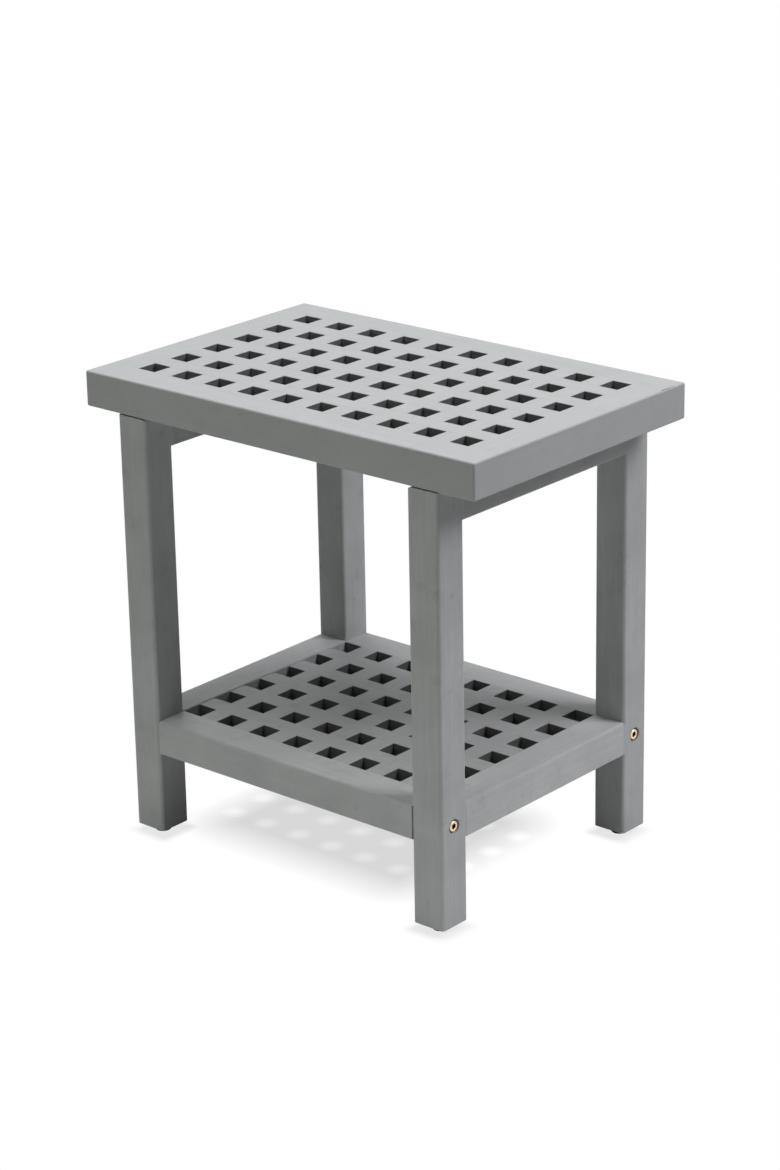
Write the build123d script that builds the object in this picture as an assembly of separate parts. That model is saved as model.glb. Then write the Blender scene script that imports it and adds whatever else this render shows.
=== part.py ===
from build123d import *
import os

# A two-tier wooden bathroom stool. A lattice seat lies on two end frames, and a lattice
# shelf is bolted between the legs. Sizes are in millimetres. The origin is on the floor
# under the middle of the stool: X runs along the long side, Y from front to back, Z up.

# Overall size
seat_length = 460.0
seat_width = 300.0
stool_height = 450.0

# Seat panel
seat_thickness = 34.0
seat_rail_width = 34.5
seat_edge_round = 2.0
hole_count_along = 10
hole_count_across = 6

# Lattice slats, the same stock in the seat and the shelf
slat_width = 20.5
slat_tenon_length = 8.0
slat_tenon_width = 10.0
slat_tenon_height = 18.0

# Legs
leg_size = 34.5
leg_inset = 40.0
leg_edge_round = 3.5
leg_inner_top_round = 4.5
leg_top_gap = 0.8

# Rails between the legs of an end frame
upper_rail_height = 33.0
lower_rail_height = 33.0
lower_rail_top = 121.0
rail_top_round = 3.0
rail_edge_round = 1.5

# Tenons of the rails
rail_tenon_thickness = 12.0
rail_tenon_height = 20.0
upper_rail_tenon_length = 18.0
lower_rail_tenon_length = 12.0
seat_tenon_length = 18.0
seat_tenon_width = 20.0
seat_tenon_thickness = 14.0

# Shelf panel
shelf_thickness = 33.0
shelf_rail_width = 34.5
shelf_drop = 0.8
shelf_hole_count_along = 8
shelf_slat_end_gap = 0.4
shelf_slat_corner_round = 5.0

# Shelf bolts, one through each leg, and their barrel nuts
bolt_diameter = 6.0
bolt_length = 50.0
bolt_head_diameter = 10.0
bolt_head_height = 6.0
bolt_head_sunk = 0.6
bolt_recess_diameter = 13.8
bolt_socket_size = 5.0
bolt_socket_depth = 3.0
nut_diameter = 10.0
nut_length = 18.0
nut_depth = 16.0

# Screws that hold the seat to the upper rails
seat_screw_diameter = 4.5
seat_screw_length = 48.0
seat_screw_head_diameter = 9.0
seat_screw_head_height = 3.0
seat_screw_recess = 9.0

# Feet, each with a pin that is driven into its leg
foot_diameter = 15.5
foot_height = 7.5
foot_chamfer = 0.8
foot_pin_diameter = 3.0
foot_pin_length = 16.0

# Fits
joint_gap = 0.05
hole_end_gap = 0.5
screw_gap = 0.15
bolt_gap = 0.3
recess_gap = 0.5
overcut = 1.0

# Places of the legs
leg_outer_x = seat_length / 2 - leg_inset
leg_inner_x = leg_outer_x - leg_size
leg_x = (leg_inner_x, leg_outer_x)
leg_outer_y = seat_width / 2
leg_inner_y = leg_outer_y - leg_size
leg_y = (leg_inner_y, leg_outer_y)
leg_centre_x = sum(leg_x) / 2
leg_centre_y = sum(leg_y) / 2

# Levels
seat_bottom = stool_height - seat_thickness
seat_z = (seat_bottom, stool_height)
leg_z = (foot_height, seat_bottom - leg_top_gap)
upper_rail_z = (seat_bottom - upper_rail_height, seat_bottom)
lower_rail_z = (lower_rail_top - lower_rail_height, lower_rail_top)
shelf_top = lower_rail_top - shelf_drop
shelf_z = (shelf_top - shelf_thickness, shelf_top)

# Places of the shelf bolts, on the middle line of the shelf's rails
bolt_y = leg_outer_y - shelf_rail_width / 2
bolt_z = sum(shelf_z) / 2
bolt_head_x = leg_outer_x - bolt_head_sunk
bolt_seat_x = bolt_head_x - bolt_head_height
bolt_tip_x = bolt_seat_x - bolt_length
nut_x = leg_inner_x - nut_depth

# Places of the lattice slats
seat_frame_x = seat_length / 2 - seat_rail_width
seat_frame_y = seat_width / 2 - seat_rail_width
shelf_frame_y = seat_width / 2 - shelf_rail_width
pitch_along = (2 * seat_frame_x + slat_width) / hole_count_along
seat_pitch_across = (2 * seat_frame_y + slat_width) / hole_count_across
shelf_pitch_across = (2 * shelf_frame_y + slat_width) / hole_count_across


# Basic shapes

def block(x_range, y_range, z_range):
    """A box between two values on each axis."""
    low, high = zip(x_range, y_range, z_range)
    size = [b - a for a, b in zip(low, high)]
    return Pos(*low) * Box(*size, align=(Align.MIN, Align.MIN, Align.MIN))


def rod(diameter, length, start, direction):
    """A round bar from a start point along a direction."""
    circle = Plane(origin=start, z_dir=direction) * Circle(diameter / 2)
    return extrude(circle, amount=length)


def about(middle, width):
    """The two ends of a width about its middle."""
    return (middle - width / 2, middle + width / 2)


def evenly(count, pitch):
    """Places of a row of like pieces about the middle."""
    return [(number - (count - 1) / 2) * pitch for number in range(count)]


def round_edge(solid, axis, near, radius):
    """Rounds the edge along an axis whose middle lies nearest to a point."""
    edges = solid.edges().filter_by(axis)
    nearest = min(edges, key=lambda edge: (edge.center() - Vector(*near)).length)
    return fillet(nearest, radius)


def left_of(shape):
    """The like piece at the left."""
    return mirror(shape, about=Plane.YZ)


def front_of(shape):
    """The like piece at the front."""
    return mirror(shape, about=Plane.XZ)


def four_corners(shape):
    """A piece of the back right corner and its three mirror images, by place."""
    back_left = left_of(shape)
    return {
        "back_right": shape,
        "back_left": back_left,
        "front_right": front_of(shape),
        "front_left": front_of(back_left),
    }


# Lattice

seat_cross_places = evenly(hole_count_along - 1, pitch_along)
seat_long_places = evenly(hole_count_across - 1, seat_pitch_across)
shelf_cross_places = evenly(shelf_hole_count_along - 1, pitch_along)
shelf_long_places = evenly(hole_count_across - 1, shelf_pitch_across)


def long_slat(y, end, tenon_length, crossings, z_range):
    """A slat along X, cut from below where the cross slats pass under it."""
    middle_z = sum(z_range) / 2
    slat = block(about(0, 2 * end), about(y, slat_width), z_range)
    if tenon_length:
        core_y = about(y, slat_tenon_width)
        core_z = about(middle_z, slat_tenon_height)
        slat = slat + block(about(0, 2 * (end + tenon_length)), core_y, core_z)
    for x in crossings:
        notch_x = about(x, slat_width + 2 * joint_gap)
        notch_y = about(y, slat_width + 2 * overcut)
        slat = slat - block(notch_x, notch_y, (z_range[0] - overcut, middle_z))
    return slat


def cross_slat(x, end, crossings, z_range):
    """A slat along Y, cut from above where the long slats pass over it."""
    middle_z = sum(z_range) / 2
    core_x = about(x, slat_tenon_width)
    core_z = about(middle_z, slat_tenon_height)
    slat = block(about(x, slat_width), about(0, 2 * end), z_range)
    slat = slat + block(core_x, about(0, 2 * (end + slat_tenon_length)), core_z)
    for y in crossings:
        notch_x = about(x, slat_width + 2 * overcut)
        notch_y = about(y, slat_width + 2 * joint_gap)
        slat = slat - block(notch_x, notch_y, (middle_z, z_range[1] + overcut))
    return slat


def slat_mortise(middle, face, z_range, along_y):
    """The mortise behind a rail's face that takes the stub tenon of a slat."""
    depth = (face - overcut, face + slat_tenon_length + hole_end_gap)
    width = about(middle, slat_tenon_width + 2 * joint_gap)
    height = about(sum(z_range) / 2, slat_tenon_height + 2 * joint_gap)
    if along_y:
        return block(width, depth, height)
    return block(depth, width, height)


# Seat

def seat_screw_place():
    """Where a seat screw passes from an upper rail into the last cross slat."""
    slat_low, slat_high = about(seat_cross_places[-1], slat_width)
    x = (max(leg_inner_x, slat_low) + min(leg_outer_x, slat_high)) / 2
    y = sum(seat_long_places[-2:]) / 2
    return x, y


seat_screw_x, seat_screw_y = seat_screw_place()
seat_screw_seat_z = upper_rail_z[0] + seat_screw_recess


def seat_pieces():
    """The four rails and the lattice of the seat, by name."""
    middle_z = sum(seat_z) / 2
    blank = block(about(0, seat_length), about(0, seat_width), seat_z)
    blank = fillet(blank.edges(), seat_edge_round)
    rail_middle_x = seat_frame_x + seat_rail_width / 2
    tenon_z = about(middle_z, seat_tenon_thickness)
    full_z = about(middle_z, seat_thickness + 2 * overcut)
    back_zone = block(about(0, seat_length), (seat_frame_y, seat_width / 2), full_z)
    back_rail = blank & back_zone
    for x in seat_cross_places:
        back_rail = back_rail - slat_mortise(x, seat_frame_y, seat_z, along_y=True)
    for x in (-rail_middle_x, rail_middle_x):
        mortise_x = about(x, seat_tenon_width + 2 * joint_gap)
        mortise_y = (seat_frame_y - overcut, seat_frame_y + seat_tenon_length + hole_end_gap)
        mortise_z = about(middle_z, seat_tenon_thickness + 2 * joint_gap)
        back_rail = back_rail - block(mortise_x, mortise_y, mortise_z)

    right_zone = block((seat_frame_x, seat_length / 2), about(0, 2 * seat_frame_y), full_z)
    right_rail = blank & right_zone
    tenon_y = about(0, 2 * (seat_frame_y + seat_tenon_length))
    right_rail = right_rail + block(about(rail_middle_x, seat_tenon_width), tenon_y, tenon_z)
    for y in seat_long_places:
        right_rail = right_rail - slat_mortise(y, seat_frame_x, seat_z, along_y=False)

    pieces = {
        "seat_back_rail": back_rail,
        "seat_front_rail": front_of(back_rail),
        "seat_right_rail": right_rail,
        "seat_left_rail": left_of(right_rail),
    }
    for number, y in enumerate(seat_long_places, start=1):
        slat = long_slat(y, seat_frame_x, slat_tenon_length, seat_cross_places, seat_z)
        pieces[f"seat_long_slat_{number}"] = slat
    for number, x in enumerate(seat_cross_places, start=1):
        slat = cross_slat(x, seat_frame_y, seat_long_places, seat_z)
        if abs(x) == seat_cross_places[-1]:
            slat = slat - seat_screw_pilots(x)
        pieces[f"seat_cross_slat_{number}"] = slat
    return pieces


def seat_screw_pilots(slat_x):
    """The pilot holes of the seat screws in the first or the last cross slat."""
    side = 1 if slat_x > 0 else -1
    depth = seat_screw_seat_z + seat_screw_length + hole_end_gap - seat_bottom
    diameter = seat_screw_diameter + 2 * screw_gap
    holes = []
    for y in (-seat_screw_y, seat_screw_y):
        start = (side * seat_screw_x, y, seat_bottom - overcut)
        holes.append(rod(diameter, depth + overcut, start, (0, 0, 1)))
    return holes


def seat_screw(x, y):
    """A screw from the recess under an upper rail up into a cross slat."""
    shank = rod(seat_screw_diameter, seat_screw_length, (x, y, seat_screw_seat_z), (0, 0, 1))
    head_start = (x, y, seat_screw_seat_z - seat_screw_head_height)
    head = rod(seat_screw_head_diameter, seat_screw_head_height, head_start, (0, 0, 1))
    return shank + head


# End frames

def upper_rail_bar(half_length):
    """The section of an upper rail, over a length about the middle."""
    bar = block(leg_x, about(0, 2 * half_length), upper_rail_z)
    for x in leg_x:
        bar = round_edge(bar, Axis.Y, (x, 0, upper_rail_z[0]), rail_edge_round)
    return bar


def lower_rail_bar(half_length):
    """The section of a lower rail, over a length about the middle."""
    low, high = lower_rail_z
    bar = block(leg_x, about(0, 2 * half_length), lower_rail_z)
    bar = round_edge(bar, Axis.Y, (leg_outer_x, 0, high), rail_top_round)
    bar = round_edge(bar, Axis.Y, (leg_inner_x, 0, high), rail_edge_round)
    for x in leg_x:
        bar = round_edge(bar, Axis.Y, (x, 0, low), rail_edge_round)
    return bar


def rail_tenon(length, z_range, gap, end_gap):
    """The two tenons of a rail as one bar, or the mortises for them."""
    width = about(leg_centre_x, rail_tenon_thickness + 2 * gap)
    height = about(sum(z_range) / 2, rail_tenon_height + 2 * gap)
    return block(width, about(0, 2 * (leg_inner_y + length + end_gap)), height)


def upper_rail():
    """The right upper rail, with the holes and recesses of the seat screws."""
    rail = upper_rail_bar(leg_inner_y)
    rail = rail + rail_tenon(upper_rail_tenon_length, upper_rail_z, 0, 0)
    bottom, top = upper_rail_z
    for y in (-seat_screw_y, seat_screw_y):
        start = (seat_screw_x, y, bottom - overcut)
        hole_length = top - bottom + 2 * overcut
        hole = rod(seat_screw_diameter + 2 * screw_gap, hole_length, start, (0, 0, 1))
        recess_diameter = seat_screw_head_diameter + 2 * recess_gap
        recess = rod(recess_diameter, seat_screw_recess + overcut, start, (0, 0, 1))
        rail = rail - hole - recess
    return rail


def lower_rail():
    """The right lower rail."""
    rail = lower_rail_bar(leg_inner_y)
    return rail + rail_tenon(lower_rail_tenon_length, lower_rail_z, 0, 0)


def inner_top_round():
    """The cutter that rounds the upper edge of a leg on the side of its neighbour."""
    radius = leg_inner_top_round
    width = about(leg_centre_y, leg_size + 2 * overcut)
    corner_x = (leg_inner_x - overcut, leg_inner_x + radius)
    corner_z = (leg_z[1] - radius, leg_z[1] + overcut)
    start = (leg_inner_x + radius, width[0] - overcut, leg_z[1] - radius)
    round_bar = rod(2 * radius, leg_size + 4 * overcut, start, (0, 1, 0))
    return block(corner_x, width, corner_z) - round_bar


def leg():
    """The back right leg, square where a rail meets it and round elsewhere."""
    post = block(leg_x, leg_y, leg_z)
    post = fillet(post.edges().filter_by(Axis.Z), leg_edge_round)
    square_depth = (leg_inner_y, leg_inner_y + leg_edge_round)
    for bar in (upper_rail_bar(leg_outer_y), lower_rail_bar(leg_outer_y)):
        post = post + (bar & block(leg_x, square_depth, leg_z))
    post = post - inner_top_round()
    post = post - rail_tenon(upper_rail_tenon_length, upper_rail_z, joint_gap, hole_end_gap)
    post = post - rail_tenon(lower_rail_tenon_length, lower_rail_z, joint_gap, hole_end_gap)

    centre = (leg_inner_x - overcut, bolt_y, bolt_z)
    bolt_hole = rod(bolt_diameter + 2 * bolt_gap, leg_size + 2 * overcut, centre, (1, 0, 0))
    recess_start = (bolt_seat_x, bolt_y, bolt_z)
    recess = rod(bolt_recess_diameter, leg_size, recess_start, (1, 0, 0))
    pin_start = (leg_centre_x, leg_centre_y, leg_z[0] - overcut)
    pin_hole_depth = foot_pin_length + hole_end_gap + overcut
    pin_hole = rod(foot_pin_diameter + 2 * joint_gap, pin_hole_depth, pin_start, (0, 0, 1))
    return post - bolt_hole - recess - pin_hole


# Shelf

def shelf_back_rail():
    """The back rail of the shelf, with the holes for its bolts and barrel nuts."""
    inner_y = shelf_frame_y
    low, high = shelf_z
    rail = block(about(0, 2 * leg_inner_x), (inner_y, leg_outer_y), shelf_z)
    rail = round_edge(rail, Axis.X, (0, leg_outer_y, high), rail_top_round)
    rail = round_edge(rail, Axis.X, (0, leg_outer_y, low), rail_edge_round)
    for x in shelf_cross_places:
        rail = rail - slat_mortise(x, inner_y, shelf_z, along_y=True)
    bolt_hole_diameter = bolt_diameter + 2 * bolt_gap
    bolt_hole_depth = leg_inner_x - min(bolt_tip_x - hole_end_gap, nut_x)
    nut_hole_diameter = nut_diameter + 2 * screw_gap
    nut_hole_depth = bolt_z + nut_length / 2 - low
    for side in (-1, 1):
        bolt_start = (side * (leg_inner_x + overcut), bolt_y, bolt_z)
        bolt_depth = bolt_hole_depth + overcut
        rail = rail - rod(bolt_hole_diameter, bolt_depth, bolt_start, (-side, 0, 0))
        nut_start = (side * nut_x, bolt_y, low - overcut)
        rail = rail - rod(nut_hole_diameter, nut_hole_depth + overcut, nut_start, (0, 0, 1))
    return rail


def shelf_pieces():
    """The two rails and the lattice of the shelf, by name."""
    back_rail = shelf_back_rail()
    pieces = {
        "shelf_back_rail": back_rail,
        "shelf_front_rail": front_of(back_rail),
    }
    slat_end = leg_inner_x - shelf_slat_end_gap
    for number, y in enumerate(shelf_long_places, start=1):
        slat = long_slat(y, slat_end, 0, shelf_cross_places, shelf_z)
        corner = (-slat_end, y + slat_width / 2, bolt_z)
        slat = round_edge(slat, Axis.Z, corner, shelf_slat_corner_round)
        pieces[f"shelf_long_slat_{number}"] = slat
    for number, x in enumerate(shelf_cross_places, start=1):
        slat = cross_slat(x, shelf_frame_y, shelf_long_places, shelf_z)
        pieces[f"shelf_cross_slat_{number}"] = slat
    return pieces


# Hardware

def shelf_bolt():
    """The back right bolt, with its hexagon socket facing out."""
    head_start = (bolt_seat_x, bolt_y, bolt_z)
    head = rod(bolt_head_diameter, bolt_head_height, head_start, (1, 0, 0))
    shank = rod(bolt_diameter, bolt_length, head_start, (-1, 0, 0))
    outline = RegularPolygon(bolt_socket_size / 2, 6, major_radius=False)
    face = Plane(origin=(bolt_head_x, bolt_y, bolt_z), z_dir=(-1, 0, 0))
    socket = extrude(face * outline, amount=bolt_socket_depth)
    return head + shank - socket


def barrel_nut():
    """The back right barrel nut, bored through for its bolt."""
    start = (nut_x, bolt_y, bolt_z - nut_length / 2)
    barrel = rod(nut_diameter, nut_length, start, (0, 0, 1))
    bore_start = (nut_x - nut_diameter, bolt_y, bolt_z)
    bore_diameter = bolt_diameter + 2 * screw_gap
    return barrel - rod(bore_diameter, 2 * nut_diameter, bore_start, (1, 0, 0))


def foot():
    """The back right foot, with the pin that holds it in the leg."""
    centre = (leg_centre_x, leg_centre_y, 0)
    pad = rod(foot_diameter, foot_height, centre, (0, 0, 1))
    pad = chamfer(pad.edges().sort_by(Axis.Z)[0], foot_chamfer)
    pin_start = (leg_centre_x, leg_centre_y, foot_height)
    return pad + rod(foot_pin_diameter, foot_pin_length, pin_start, (0, 0, 1))


def group(shapes):
    """Like pieces in one node, each its own solid."""
    return Compound(children=list(shapes))


# The whole stool

nodes = {}
nodes.update(seat_pieces())
nodes.update(shelf_pieces())
for place, shape in four_corners(leg()).items():
    nodes["leg_" + place] = shape
for place, shape in four_corners(foot()).items():
    nodes["foot_" + place] = shape
nodes["upper_rail_right"] = upper_rail()
nodes["upper_rail_left"] = left_of(nodes["upper_rail_right"])
nodes["lower_rail_right"] = lower_rail()
nodes["lower_rail_left"] = left_of(nodes["lower_rail_right"])
nodes["shelf_bolts"] = group(four_corners(shelf_bolt()).values())
nodes["barrel_nuts"] = group(four_corners(barrel_nut()).values())
nodes["seat_screws"] = group(four_corners(seat_screw(seat_screw_x, seat_screw_y)).values())

os.makedirs("parts", exist_ok=True)
for name, shape in nodes.items():
    export_step(shape, f"parts/{name}.step")
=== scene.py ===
import math
import random

import bmesh
import bpy
from mathutils import Matrix, Vector


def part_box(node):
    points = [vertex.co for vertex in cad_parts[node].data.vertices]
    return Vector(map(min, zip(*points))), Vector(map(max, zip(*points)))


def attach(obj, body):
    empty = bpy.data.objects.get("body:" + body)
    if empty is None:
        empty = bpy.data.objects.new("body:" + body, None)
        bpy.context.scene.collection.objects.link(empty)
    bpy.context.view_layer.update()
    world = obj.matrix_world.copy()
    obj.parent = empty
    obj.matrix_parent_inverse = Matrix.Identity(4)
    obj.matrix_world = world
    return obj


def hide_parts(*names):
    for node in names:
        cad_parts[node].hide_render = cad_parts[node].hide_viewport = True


# The looks of a grey painted bathroom stool: softened edges and hole rims, paint over wood
# grain, brass bolt heads, black feet, and a white studio. Lengths are in metres and angles in
# degrees.

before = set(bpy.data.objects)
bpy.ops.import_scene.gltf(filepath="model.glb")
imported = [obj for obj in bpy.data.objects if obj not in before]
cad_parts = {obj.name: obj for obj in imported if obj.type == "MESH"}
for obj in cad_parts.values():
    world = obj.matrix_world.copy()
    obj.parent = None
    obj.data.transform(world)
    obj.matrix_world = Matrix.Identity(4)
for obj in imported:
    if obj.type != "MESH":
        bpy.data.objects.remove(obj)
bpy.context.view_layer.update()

# Camera
camera_azimuth = 40.946
camera_elevation = 20.005
camera_roll = -1.071
camera_distance = 2.9259
camera_aim = (0.0028, 0.0028, 0.2483)
camera_lens = 96.979

# Rims of the lattices' holes
rim_radius = 0.0006
rim_mouth = 1.5 * rim_radius
rim_rise = 0.1 * rim_radius
rim_depth = 2 * rim_radius
rim_clearance = 0.00015
rim_angles = (20, 50, 80)

# Other softened edges
end_bevel = 0.0010
joint_bevel = 0.0004
head_bevel = 0.0009
head_bevel_steps = 4
socket_bevel = 0.0003
socket_wall_start = 2 * socket_bevel
hardware_bevel = 0.0004
hardware_bevel_angle = 50
bevel_steps = 2
round_profile = 0.5
smooth_angle = 40

# How near is the same place, and which faces are flat or upright
weld_distance = 0.000002
flat_angle = 0.5
touch = 0.0001
shelf_end_zone = 0.0006
rail_outline_share = 0.4
upright_slope = 0.3
far_away = 1

# Places round a bolt's axis, in radii of its head
recess_reach = 1.5
head_rim_start = 0.9
socket_mouth_reach = 0.6
socket_wall_reach = 0.55

# Noise in the materials, and the part of it that sets how glossy a place is
noise_contrast = 0.55
noise_span = (0.25, 0.75)
gloss_span = (0.3, 0.7)

# Paint: each bump has a strength and a depth
paint_colour = (0.396, 0.400, 0.408)
paint_roughness = (0.46, 0.62)
paint_specular = 0.17
cloud_size = 0.045
cloud_detail = 3
cloud_strength = 0.055
streak_length = 0.110
streak_width = 0.0045
streak_detail = 2
streak_strength = 0.024
streak_bump = (0.4, 0.0005)
grain_length = 0.030
grain_width = 0.0007
grain_detail = 3
grain_strength = 0.035
grain_bump = (0.4, 0.0003)
grain_offset = 3.0
scuff_size = 0.028
scuff_detail = 5
scuff_contrast = 0.75
scuff_span = (0.57, 0.70)
scuff_strength = 0.08
# The walls of the lattices' holes are darkened to this share of the paint: painted shade, where
# little light gets into the holes
painted_hole_shade = 0.32
seat_wear = 1.0
frame_wear = 1.7

# How much lighter or darker than the plain paint the pieces are, by how their names start: partly
# their own tone, partly painted light and shade where the lamps leave a piece too dark or too
# light
piece_tones_and_painted_light = {
    "lower_rail_right": 1.13,
    "lower_rail_left": 1.02,
    "leg_back_left": 0.96,
    "leg_front_right": 1.03,
    "shelf_front_rail": 1.04,
    "shelf_cross_slat": 0.91,
    "shelf_long_slat": 0.91,
    "seat_": 0.97,
    "upper_rail_left": 0.87,
    "upper_rail_right": 0.95,
}

# Metal
brass_colour = (0.83, 0.65, 0.44)
brass_roughness = (0.22, 0.42)
# The walls of the bolts' sockets are dark brown: their oxide, and painted shade for the depth of a
# real socket
socket_oxide_and_shade_colour = (0.10, 0.055, 0.03)
socket_roughness = (0.5, 0.7)
zinc_colour = (0.62, 0.63, 0.64)
zinc_roughness = (0.30, 0.50)
mark_size = 0.0009
mark_detail = 4
mark_contrast = 0.7
mark_bump = (0.2, 0.0001)
stain_size = 8 * mark_size
stain_detail = 3
metal_variation = 0.10

# Rubber
rubber_colour = (0.006, 0.006, 0.007)
rubber_roughness = (0.70, 0.85)
rubber_specular = 0.05
pore_size = 0.0006
pore_detail = 4
pore_bump = (0.3, 0.0002)
dust_size = 0.006
dust_detail = 3
dust_span = (0.35, 0.8)
dust_tone = (1.0, 2.2)

# Floor: each edge is the range of distances over which the pair beside it blends
floor_radius = 6.0
floor_sides = 96
# The floor's matte colour is painted dark between the legs, where the stool's shade falls, and
# pale round them
floor_bounce = (0.12, 0.90)
floor_bounce_edge = (0.005, 0.045)
floor_far_bounce = (1.0, 0.35)
floor_far_edge = (0.25, 0.90)
# The floor's shadow under the stool, its contact shade at the feet and its light spots under the
# shelf's holes are painted by place
floor_shadow_centre = (-0.025, 0, 0)
floor_shadow_half = (0.100, 0.078, 0)
floor_painted_shadow_whiteness = (0.68, 1.0)
floor_painted_shadow_edge = (0, 0.055)
floor_painted_contact_shade = (0.78, 1.0)
floor_painted_contact_shade_edge = (0, 0.010)
floor_painted_light_spots = (1.0, 1.15)
floor_painted_spot_span = (0.25, 1)
floor_painted_spot_rows = 0.078
floor_painted_spot_edge = (0, 0.012)

# Lamps
lamp_aim = (0, 0, 0.25)
lamp_distance = 2.6
lamp_size = 1.0
lamps = {
    "front": dict(azimuth=-20, elevation=72, level=0.36, tint=(0.945, 1, 0.95)),
    "front_low": dict(azimuth=-5, elevation=14, level=0.11, tint=(0.93, 1, 0.83)),
    "right": dict(azimuth=118, elevation=43, level=0.57, tint=(0.985, 0.99, 1)),
    "right_high": dict(azimuth=115, elevation=72, level=0.20, tint=(0.985, 0.99, 1)),
    "left": dict(azimuth=-120, elevation=50, level=0.12, tint=(0.99, 1, 1)),
    "left_high": dict(azimuth=-110, elevation=72, level=0.25, tint=(0.99, 1, 1)),
}

random_numbers = random.Random(7)

# Places read from the model
names = sorted(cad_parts)
seat_low, seat_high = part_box("seat_front_rail")
shelf_low, shelf_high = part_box("shelf_front_rail")
leg_low, leg_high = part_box("leg_front_right")
seat_frame_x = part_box("seat_right_rail")[0].x
seat_frame_y = -seat_high.y
shelf_end_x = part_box("lower_rail_right")[0].x
shelf_frame_y = -shelf_high.y
bolt_y = abs(leg_low.y + leg_high.y) / 2
bolt_z = (shelf_low.z + shelf_high.z) / 2
bolt_head_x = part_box("shelf_bolts")[1].x
bolt_head_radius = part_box("shelf_bolts")[1].z - bolt_z


def named(start):
    """The nodes whose name starts with the given words, in order."""
    return [name for name in names if name.startswith(start)]


def gaps_beside(start, outer, axis):
    """The gaps between slats along an axis, and between them and the frame around them."""
    ranges = sorted((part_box(node)[0][axis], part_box(node)[1][axis]) for node in named(start))
    ranges = [(-far_away, -outer)] + ranges + [(outer, far_away)]
    return [(one[1], two[0]) for one, two in zip(ranges, ranges[1:])]


seat_gaps_x = gaps_beside("seat_cross_slat", seat_frame_x, 0)
seat_gaps_y = gaps_beside("seat_long_slat", seat_frame_y, 1)
shelf_gaps_x = gaps_beside("shelf_cross_slat", shelf_end_x, 0)
shelf_gaps_y = gaps_beside("shelf_long_slat", shelf_frame_y, 1)


# Meshes

def welded_copy(node):
    """A new object with the shape of a node, its split corners joined and its flat faces whole."""
    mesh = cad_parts[node].data.copy()
    shape = bmesh.new()
    shape.from_mesh(mesh)
    bmesh.ops.remove_doubles(shape, verts=shape.verts, dist=weld_distance)
    limit = math.radians(flat_angle)
    bmesh.ops.dissolve_limit(shape, angle_limit=limit, verts=shape.verts, edges=shape.edges)
    shape.to_mesh(mesh)
    shape.free()
    mesh.materials.clear()
    piece = bpy.data.objects.new(node + "_finished", mesh)
    bpy.context.scene.collection.objects.link(piece)
    return piece


def bevel_where(piece, chosen, width, steps=bevel_steps):
    """Rounds the edges of a piece whose two ends are both chosen by a test on their place."""
    shape = bmesh.new()
    shape.from_mesh(piece.data)
    edges = [edge for edge in shape.edges if chosen(*[vertex.co for vertex in edge.verts])]
    bmesh.ops.bevel(
        shape, geom=edges, offset=width, segments=steps, profile=round_profile,
        affect="EDGES", clamp_overlap=True,
    )
    shape.to_mesh(piece.data)
    shape.free()


def rim_rings(low, high):
    """How far a plug stands out from its hole, and how high, from its top to its bottom."""
    flare = []
    for angle in rim_angles:
        turn = math.radians(angle)
        flare.append((rim_radius * (1 - math.cos(turn)), rim_radius * (1 - math.sin(turn))))
    profile = [(rim_mouth, -rim_rise)] + flare[::-1] + [(-rim_clearance, rim_depth)]
    upper = [(out, high - down) for out, down in profile]
    lower = [(out, low + down) for out, down in profile[::-1]]
    return upper + lower


def rim_cutter(name, gaps_x, gaps_y, low, high):
    """One closed plug for each hole of a lattice, flared at both ends with a round profile."""
    shape = bmesh.new()
    for x_low, x_high in gaps_x:
        for y_low, y_high in gaps_y:
            above = None
            for out, z in rim_rings(low, high):
                corners = [
                    (x_low - out, y_low - out, z), (x_high + out, y_low - out, z),
                    (x_high + out, y_high + out, z), (x_low - out, y_high + out, z),
                ]
                ring = [shape.verts.new(corner) for corner in corners]
                if above is None:
                    shape.faces.new(ring)
                else:
                    for side in range(4):
                        following = (side + 1) % 4
                        shape.faces.new(
                            (above[side], ring[side], ring[following], above[following])
                        )
                above = ring
            shape.faces.new(above[::-1])
    bmesh.ops.recalc_face_normals(shape, faces=shape.faces)
    mesh = bpy.data.meshes.new(name)
    shape.to_mesh(mesh)
    shape.free()
    cutter = bpy.data.objects.new(name, mesh)
    bpy.context.scene.collection.objects.link(cutter)
    return cutter


def cut(piece, cutter):
    """Takes the cutter's volume out of a piece."""
    change = piece.modifiers.new("cut", "BOOLEAN")
    change.operation = "DIFFERENCE"
    change.solver = "EXACT"
    change.object = cutter
    graph = bpy.context.evaluated_depsgraph_get()
    result = bpy.data.meshes.new_from_object(piece.evaluated_get(graph))
    piece.modifiers.clear()
    piece.data = result


def write_grain(piece):
    """Stores for each corner its place along the grain, which runs along the piece, and across
    it, with an offset of the piece's own."""
    size = piece.dimensions
    along = max(range(3), key=lambda axis: size[axis])
    axes = (along, (along + 1) % 3, (along + 2) % 3)
    offset = [random_numbers.uniform(-grain_offset, grain_offset) for _ in axes]
    attribute = piece.data.attributes.new("grain", "FLOAT_VECTOR", "POINT")
    for vertex, value in zip(piece.data.vertices, attribute.data):
        value.vector = [vertex.co[axis] + shift for axis, shift in zip(axes, offset)]


def write_value(piece, name, amount):
    """Stores one number for the whole of a piece, for its material to read."""
    attribute = piece.data.attributes.new(name, "FLOAT", "POINT")
    attribute.data.foreach_set("value", [amount] * len(attribute.data))


def write_hollows(piece, half_x, half_y):
    """Marks the upright faces inside an opening, which line the holes of its lattice and get
    painted shade.
    """
    attribute = piece.data.attributes.new("hollow", "FLOAT", "FACE")
    for face, value in zip(piece.data.polygons, attribute.data):
        inside = abs(face.center.x) < half_x + touch and abs(face.center.y) < half_y + touch
        if inside and abs(face.normal.z) < upright_slope:
            value.value = 1.0


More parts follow.
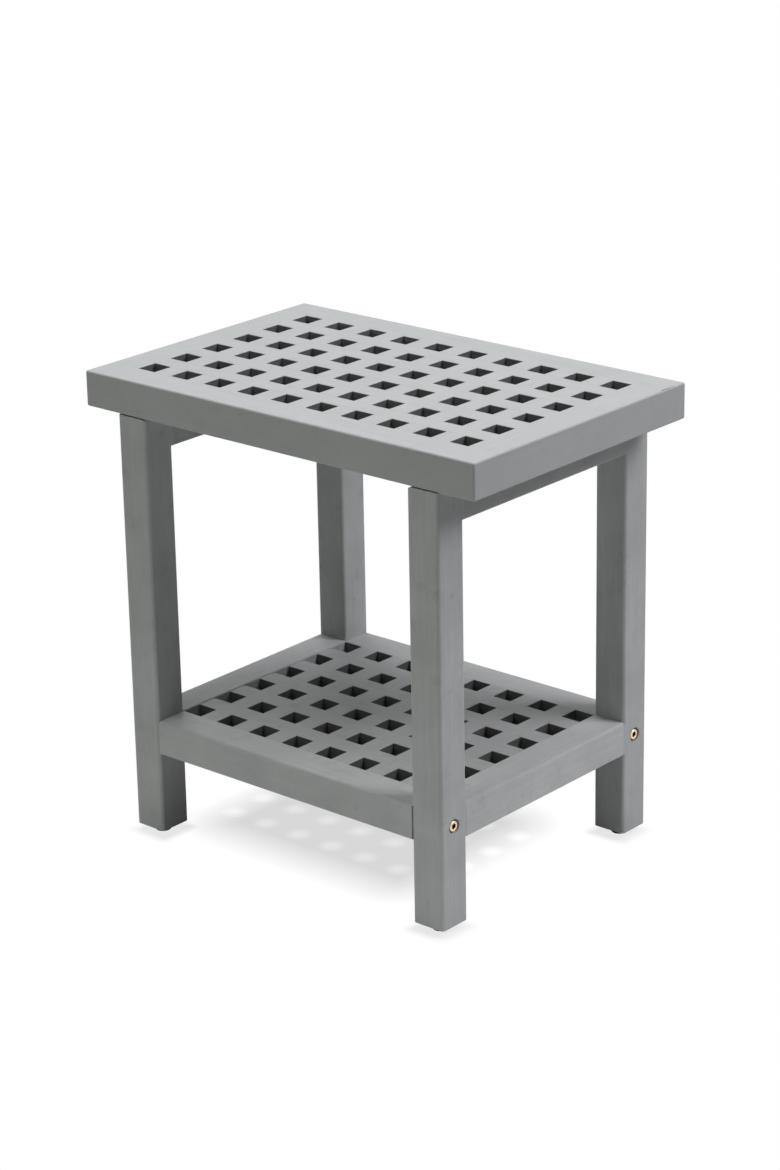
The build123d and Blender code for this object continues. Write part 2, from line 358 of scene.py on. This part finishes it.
def tone_and_painted_light_of(node):
    """How much lighter or darker than the plain paint a piece is: partly its own tone, partly
    painted light and shade.
    """
    for start, tone in piece_tones_and_painted_light.items():
        if node.startswith(start):
            return tone
    return 1.0


def even_normals(piece):
    """Lets flat faces decide how the rounded edges beside them are shaded."""
    weights = piece.modifiers.new("weights", "WEIGHTED_NORMAL")
    weights.keep_sharp = True


def smooth(piece):
    """Shades rounded edges smoothly and keeps flat faces flat."""
    piece.data.shade_smooth()
    piece.data.set_sharp_from_angle(angle=math.radians(smooth_angle))
    even_normals(piece)


# Materials

def node_adder(tree):
    """Empties a node tree, and gives a call that adds a shader node with its inputs to it."""
    tree.nodes.clear()

    def add(kind, inputs=None, **settings):
        node = tree.nodes.new("ShaderNode" + kind)
        for key, value in settings.items():
            setattr(node, key, value)
        for key, value in (inputs or {}).items():
            if isinstance(value, bpy.types.NodeSocket):
                tree.links.new(value, node.inputs[key])
            else:
                node.inputs[key].default_value = value
        return node

    return add


def new_material(name):
    """A material, and the call that adds nodes to it."""
    material = bpy.data.materials.new(name)
    material.use_nodes = True
    return material, node_adder(material.node_tree)


def surface(add, shader):
    """Makes a shader the surface of its material."""
    add("OutputMaterial", {"Surface": shader.outputs[0]})


def vector_math(add, operation, *values):
    """The result of an operation on vectors."""
    return add("VectorMath", dict(enumerate(values)), operation=operation).outputs[0]


def value_math(add, operation, *values):
    """The result of an operation on numbers."""
    return add("Math", dict(enumerate(values)), operation=operation).outputs[0]


def product(add, first, *others):
    """The product of several numbers."""
    for other in others:
        first = value_math(add, "MULTIPLY", first, other)
    return first


def remap(add, value, source, target):
    """A number moved from one range to another and kept in it."""
    return add("MapRange", {
        "Value": value, "From Min": source[0], "From Max": source[1],
        "To Min": target[0], "To Max": target[1],
    }).outputs["Result"]


def stretched_noise(add, place, sizes, detail, contrast=noise_contrast):
    """Noise with cells of the given size along each axis of a place, from 0 to 1."""
    scaled = vector_math(add, "MULTIPLY", place, [1 / size for size in sizes])
    settings = {"Vector": scaled, "Scale": 1.0, "Detail": detail, "Roughness": contrast}
    return add("TexNoise", settings).outputs["Fac"]


def even_noise(add, place, size, detail, contrast=noise_contrast):
    """Noise with cells as long as they are wide, from 0 to 1."""
    return stretched_noise(add, place, (size, size, size), detail, contrast)


def about_one(add, value, strength):
    """Noise turned into a factor that varies about one."""
    return remap(add, value, noise_span, (1 - strength, 1 + strength))


def shaded(add, colour, tone):
    """A colour made lighter or darker by a factor."""
    return add("VectorMath", {0: colour, "Scale": tone}, operation="SCALE").outputs[0]


def bump(add, height, relief, **below):
    """The normal of a surface with a relief of the given strength and depth."""
    strength, depth = relief
    inputs = {"Height": height, "Strength": strength, "Distance": depth, **below}
    return add("Bump", inputs).outputs[0]


def object_place(add):
    """The place on the object that is shaded."""
    return add("TexCoord").outputs["Object"]


def painted_wood():
    """Satin grey paint, through which the grain of the wood shows faintly, with painted shade on
    the walls of the holes and painted light and shade on some pieces.
    """
    material, add = new_material("grey_paint")
    place = object_place(add)
    grain = add("Attribute", attribute_name="grain").outputs["Vector"]
    hollow, wear, piece_tone_and_painted_light = [
        add("Attribute", attribute_name=name).outputs["Fac"] for name in ("hollow", "wear", "tone")
    ]
    clouds = even_noise(add, place, cloud_size, cloud_detail)
    scuffs = even_noise(add, place, scuff_size, scuff_detail, scuff_contrast)
    streak_sizes = (streak_length, streak_width, streak_width)
    streaks = stretched_noise(add, grain, streak_sizes, streak_detail)
    fibre_sizes = (grain_length, grain_width, grain_width)
    fibres = stretched_noise(add, grain, fibre_sizes, grain_detail)
    tone = product(
        add,
        about_one(add, clouds, cloud_strength),
        about_one(add, streaks, streak_strength),
        about_one(add, fibres, grain_strength),
        remap(add, scuffs, scuff_span, (1, 1 - scuff_strength)),
    )
    change = value_math(add, "SUBTRACT", tone, 1.0)
    tone = product(
        add,
        value_math(add, "MULTIPLY_ADD", change, wear, 1.0),
        # The piece's tone: partly its own, partly painted light and shade
        piece_tone_and_painted_light,
        # Painted shade on the walls of the holes
        remap(add, hollow, (0, 1), (1, painted_hole_shade)),
    )
    fine = bump(add, fibres, grain_bump)
    shader = add("BsdfPrincipled", {
        "Base Color": shaded(add, paint_colour, tone),
        "Roughness": remap(add, clouds, gloss_span, paint_roughness),
        "Normal": bump(add, streaks, streak_bump, Normal=fine),
        "Specular IOR Level": paint_specular,
    })
    surface(add, shader)
    return material


def metal(name, colour, roughness):
    """A bare metal with fine turning marks and faint stains."""
    material, add = new_material(name)
    place = object_place(add)
    marks = even_noise(add, place, mark_size, mark_detail, mark_contrast)
    stains = even_noise(add, place, stain_size, stain_detail)
    tone = product(
        add, about_one(add, marks, metal_variation), about_one(add, stains, metal_variation)
    )
    shader = add("BsdfPrincipled", {
        "Base Color": shaded(add, colour, tone),
        "Roughness": remap(add, marks, gloss_span, roughness),
        "Normal": bump(add, marks, mark_bump),
        "Metallic": 1.0,
    })
    surface(add, shader)
    return material


def foot_rubber():
    """Black moulded rubber with a fine grain and a little dust."""
    material, add = new_material("foot_rubber")
    place = object_place(add)
    pores = even_noise(add, place, pore_size, pore_detail)
    dust = even_noise(add, place, dust_size, dust_detail)
    shader = add("BsdfPrincipled", {
        "Base Color": shaded(add, rubber_colour, remap(add, dust, dust_span, dust_tone)),
        "Roughness": remap(add, dust, gloss_span, rubber_roughness),
        "Normal": bump(add, pores, pore_bump),
        "Specular IOR Level": rubber_specular,
    })
    surface(add, shader)
    return material


# Pieces

def at_shelf_end(*places):
    """Whether all places lie on the end face of a shelf rail or of a long slat."""
    return all(abs(place.x) > shelf_end_x - shelf_end_zone for place in places)


def at_leg_end(*places):
    """Whether all places lie on one end of a leg, clear of the rail beside it."""
    ends = (leg_low.z, leg_high.z)
    level = any(all(abs(place.z - end) < touch for place in places) for end in ends)
    return level and not all(abs(abs(place.y) - abs(leg_high.y)) < touch for place in places)


def rail_end_test(node):
    """A test for places that all lie on the outline of a rail's end, where it meets a leg."""
    low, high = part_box(node)
    middle_x = (low.x + high.x) / 2
    middle_z = (low.z + high.z) / 2

    def at_rail_end(*places):
        return all(
            abs(abs(place.y) + leg_high.y) < touch and max(
                abs(place.x - middle_x) / (high.x - low.x),
                abs(place.z - middle_z) / (high.z - low.z),
            ) > rail_outline_share
            for place in places
        )

    return at_rail_end


def from_bolt(place):
    """How far a place lies from the axis of the nearest shelf bolt, in radii of its head."""
    return math.hypot(abs(place.y) - bolt_y, place.z - bolt_z) / bolt_head_radius


def at_bolt_recess(*places):
    """Whether all places lie on the mouth of a bolt's recess in a leg."""
    return all(
        abs(abs(place.x) - leg_high.x) < touch and from_bolt(place) < recess_reach
        for place in places
    )


def at_head_rim(*places):
    """Whether all places lie on the outer rim of a bolt's head."""
    return all(
        abs(abs(place.x) - bolt_head_x) < touch and from_bolt(place) > head_rim_start
        for place in places
    )


def at_socket_mouth(*places):
    """Whether all places lie on the mouth of a bolt's socket."""
    return all(
        abs(abs(place.x) - bolt_head_x) < touch and from_bolt(place) < socket_mouth_reach
        for place in places
    )


def replace_node(piece, node):
    """Puts a finished piece in the place of its node."""
    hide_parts(node)
    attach(piece, "root")


def finish_bolts(node, finish, socket_finish):
    """Makes the shelf bolts, with rounded heads and sockets darkened by oxide and painted shade.
    """
    piece = welded_copy(node)
    bevel_where(piece, at_head_rim, head_bevel, head_bevel_steps)
    bevel_where(piece, at_socket_mouth, socket_bevel)
    smooth(piece)
    piece.data.materials.append(finish)
    piece.data.materials.append(socket_finish)
    # The walls of the sockets get the dark brown of oxide and painted shade
    for face in piece.data.polygons:
        depth = bolt_head_x - abs(face.center.x)
        in_socket = socket_wall_start < depth < bolt_head_radius
        if in_socket and from_bolt(face.center) < socket_wall_reach:
            face.material_index = 1
    replace_node(piece, node)


def finish_wood(node, finish):
    """Makes the painted piece that stands for a wooden node."""
    piece = welded_copy(node)
    if node.startswith(("upper_rail", "lower_rail")):
        bevel_where(piece, rail_end_test(node), joint_bevel)
    if node.startswith("shelf_long_slat") or node in ("shelf_front_rail", "shelf_back_rail"):
        bevel_where(piece, at_shelf_end, joint_bevel)
    if node.startswith("leg_"):
        bevel_where(piece, at_leg_end, end_bevel)
        bevel_where(piece, at_bolt_recess, joint_bevel)
    if node.startswith("seat_"):
        cut(piece, seat_cutter)
        write_hollows(piece, seat_frame_x, seat_frame_y)
    if node.startswith("shelf_"):
        cut(piece, shelf_cutter)
        write_hollows(piece, shelf_end_x, shelf_frame_y)
    write_grain(piece)
    write_value(piece, "wear", seat_wear if node.startswith("seat_") else frame_wear)
    write_value(piece, "tone", tone_and_painted_light_of(node))
    smooth(piece)
    piece.data.materials.append(finish)
    replace_node(piece, node)


def keep_node(node, finish, slot):
    """Gives a node that keeps its shape its finish and a fine bevel."""
    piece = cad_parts[node]
    piece.data.materials.clear()
    piece.data.materials.append(finish)
    weld = piece.modifiers.new("weld", "WELD")
    weld.merge_threshold = weld_distance
    bevel = piece.modifiers.new("bevel", "BEVEL")
    bevel.width = hardware_bevel
    bevel.segments = bevel_steps
    bevel.limit_method = "ANGLE"
    bevel.angle_limit = math.radians(hardware_bevel_angle)
    even_normals(piece)


paint = painted_wood()
brass = metal("bolt_brass", brass_colour, brass_roughness)
socket_oxide_and_shade = metal("socket_oxide_and_shade", socket_oxide_and_shade_colour, socket_roughness)
zinc = metal("zinc", zinc_colour, zinc_roughness)
rubber = foot_rubber()

hardware = {"barrel_nuts": (zinc, "steel"), "seat_screws": (zinc, "steel")}
for node in named("foot_"):
    hardware[node] = (rubber, "rubber")

seat_cutter = rim_cutter("seat_rims", seat_gaps_x, seat_gaps_y, seat_low.z, seat_high.z)
shelf_cutter = rim_cutter("shelf_rims", shelf_gaps_x, shelf_gaps_y, shelf_low.z, shelf_high.z)
for node in names:
    if node in hardware:
        keep_node(node, *hardware[node])
    elif node == "shelf_bolts":
        finish_bolts(node, brass, socket_oxide_and_shade)
    else:
        finish_wood(node, paint)
for cutter in (seat_cutter, shelf_cutter):
    bpy.data.objects.remove(cutter)


# Studio

def direction_of(azimuth, elevation):
    """The direction from the stool to a place round it, its azimuth taken from the front."""
    turn = math.radians(azimuth)
    rise = math.radians(elevation)
    level = math.cos(rise)
    return Vector((math.sin(turn) * level, -math.cos(turn) * level, math.sin(rise)))


def place_in_scene(holder, location, rotation):
    """Puts a camera or a lamp in its place."""
    holder.location = location
    holder.rotation_mode = "QUATERNION"
    holder.rotation_quaternion = rotation
    bpy.context.scene.collection.objects.link(holder)


def make_camera():
    """The camera, at the place that the photograph was taken from."""
    back = direction_of(camera_azimuth, camera_elevation)
    level_right = Vector((0, 0, 1)).cross(back).normalized()
    level_up = back.cross(level_right)
    roll = math.radians(camera_roll)
    right = math.cos(roll) * level_right + math.sin(roll) * level_up
    up = math.cos(roll) * level_up - math.sin(roll) * level_right
    camera = bpy.data.objects.new("camera", bpy.data.cameras.new("camera"))
    camera.data.lens = camera_lens
    rotation = Matrix((right, up, back)).transposed().to_quaternion()
    place_in_scene(camera, Vector(camera_aim) + camera_distance * back, rotation)
    bpy.context.scene.camera = camera


def make_lamp(name, azimuth, elevation, level, tint):
    """A square soft lamp, whose level is how bright it makes a white face turned to it."""
    back = direction_of(azimuth, elevation)
    lamp = bpy.data.lights.new(name, "AREA")
    lamp.size = lamp_size
    lamp.energy = level * (math.pi * lamp_distance) ** 2
    lamp.color = tint
    location = Vector(lamp_aim) + lamp_distance * back
    place_in_scene(bpy.data.objects.new(name, lamp), location, back.to_track_quat("Z", "Y"))


def shown_directly(add):
    """One where the camera, a reflection or a clear body looks at a surface, else zero."""
    path = add("LightPath").outputs
    seen = path["Is Camera Ray"]
    for other in ("Is Glossy Ray", "Is Transmission Ray"):
        seen = value_math(add, "MAXIMUM", seen, path[other])
    return seen


def distance_from_box(add, place, centre, half):
    """How far a place lies outside a box."""
    from_centre = vector_math(add, "ABSOLUTE", vector_math(add, "SUBTRACT", place, centre))
    beyond = vector_math(add, "SUBTRACT", from_centre, half)
    outside = vector_math(add, "MAXIMUM", beyond, (0, 0, 0))
    return add("VectorMath", {0: outside}, operation="LENGTH").outputs["Value"]


def wave(add, value, gaps):
    """A wave that is one at the middle of each gap and zero midway between them."""
    first, second = [(low + high) / 2 for low, high in gaps[:2]]
    turn = 2 * math.pi / (second - first)
    angle = value_math(add, "MULTIPLY_ADD", value, turn, -turn * first)
    return value_math(add, "MULTIPLY_ADD", value_math(add, "COSINE", angle), 0.5, 0.5)


def floor_matte(add, place):
    """The floor as it lights the stool: painted dark between the legs, where the stool's shade
    falls, pale round them, darker far off.
    """
    from_middle = distance_from_box(add, place, (0, 0, 0), (shelf_end_x, bolt_y, 0))
    near = remap(add, from_middle, floor_bounce_edge, floor_bounce)
    far = remap(add, from_middle, floor_far_edge, floor_far_bounce)
    return add("BsdfDiffuse", {"Color": product(add, near, far)})


def floor_whiteness(add, place):
    """How white the floor looks: a painted shadow under the stool, painted contact shade at its
    feet, and painted light spots under the shelf's holes.
    """
    mirrored = vector_math(add, "ABSOLUTE", place)
    leg_x, leg_y = [abs(low + high) / 2 for low, high in zip(leg_low.xy, leg_high.xy)]
    half_x, half_y = [(high - low) / 2 for low, high in zip(leg_low.xy, leg_high.xy)]
    from_shadow = distance_from_box(add, place, floor_shadow_centre, floor_shadow_half)
    from_leg = distance_from_box(add, mirrored, (leg_x, leg_y, 0), (half_x, half_y, 0))
    from_rows = distance_from_box(add, place, (0, 0, 0), (floor_radius, floor_painted_spot_rows, 0))
    parts = add("SeparateXYZ", {0: place}).outputs
    # Painted light spots in the pattern of the shelf's holes
    spots = product(
        add,
        wave(add, parts["X"], shelf_gaps_x),
        wave(add, parts["Y"], shelf_gaps_y),
        remap(add, from_rows, floor_painted_spot_edge, (1, 0)),
    )
    # Painted shadow under the stool and painted contact shade at the feet
    return product(
        add,
        shown_directly(add),
        remap(add, from_shadow, floor_painted_shadow_edge, floor_painted_shadow_whiteness),
        remap(add, from_leg, floor_painted_contact_shade_edge, floor_painted_contact_shade),
        remap(add, spots, floor_painted_spot_span, floor_painted_light_spots),
    )


def make_floor():
    """A white floor that lights the stool from below, with a pale shadow under the stool that is
    partly its lamps' own shadow and mostly painted shadow.
    """
    shape = bmesh.new()
    bmesh.ops.create_circle(shape, cap_ends=True, segments=floor_sides, radius=floor_radius)
    mesh = bpy.data.meshes.new("floor")
    shape.to_mesh(mesh)
    shape.free()
    floor = bpy.data.objects.new("floor", mesh)
    bpy.context.scene.collection.objects.link(floor)
    material, add = new_material("floor_white")
    place = object_place(add)
    matte = floor_matte(add, place)
    white = add("Emission", {"Color": (1, 1, 1, 1), "Strength": 1.0})
    share = floor_whiteness(add, place)
    surface(add, add("MixShader", {0: share, 1: matte.outputs[0], 2: white.outputs[0]}))
    mesh.materials.append(material)


def make_sky():
    """A white surrounding that is seen and reflected, and lights the stool in no other way."""
    world = bpy.data.worlds.new("studio")
    bpy.context.scene.world = world
    world.use_nodes = True
    add = node_adder(world.node_tree)
    white = add("Background", {"Color": (1, 1, 1, 1), "Strength": shown_directly(add)})
    add("OutputWorld", {"Surface": white.outputs[0]})


make_camera()
for name, facts in lamps.items():
    make_lamp(name, **facts)
make_floor()
make_sky()
bpy.context.scene.view_settings.view_transform = "Standard"
